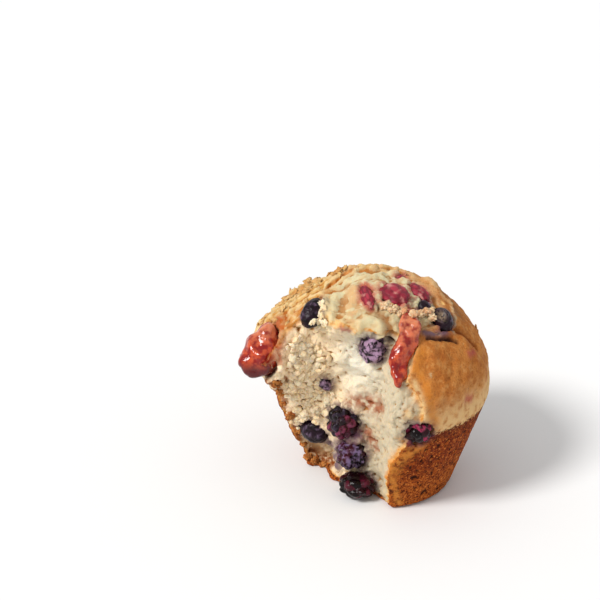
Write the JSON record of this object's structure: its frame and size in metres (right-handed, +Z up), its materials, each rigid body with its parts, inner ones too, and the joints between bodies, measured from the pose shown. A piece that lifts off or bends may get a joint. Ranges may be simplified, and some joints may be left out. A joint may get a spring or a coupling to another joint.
{
  "type": "muffin",
  "caption": "Mixed-berry muffin with a tapered cup and a cracked dome, torn open at the front, with fruit, crumble and two runs of jam.",
  "frame": {"origin": "middle of the cup's flat base, on the surface that it stands on", "axes": "+Z up, the torn face towards -Y and a little towards -X, the overhanging lip towards -X"},
  "size_m": [0.0846, 0.0781, 0.0758],
  "materials": {
    "crumb_and_crust": "Baked: a matt golden-brown crust, darker and pitted on the cup, over a pale cream open crumb where it is torn.",
    "blueberry": "Baked blueberry: a wrinkled blue-black skin with a greyish bloom.",
    "raspberry": "Baked raspberry: soft crimson beads stained into the dough.",
    "bramble": "Bramble: glossy purple-black beads.",
    "jam": "Red jam: wet, glossy and partly see-through."
  },
  "bodies": {
    "root": {"muffin": "crumb_and_crust", "blueberry_lip": "blueberry", "blueberry_top": "blueberry", "blueberry_right": "blueberry", "blueberry_back": "blueberry", "blueberry_centre": "blueberry", "blueberry_low": "blueberry", "berry_bit": "blueberry", "raspberry_small": "raspberry", "raspberry_mid": "raspberry", "raspberry_back": "raspberry", "raspberry_ridge": "raspberry", "bramble_back": "bramble", "bramble_right": "bramble", "bramble_mid": "bramble", "bramble_low": "bramble", "bramble_foot": "bramble", "jam_run": "jam", "jam_lip": "jam"}
  },
  "joints": []
}
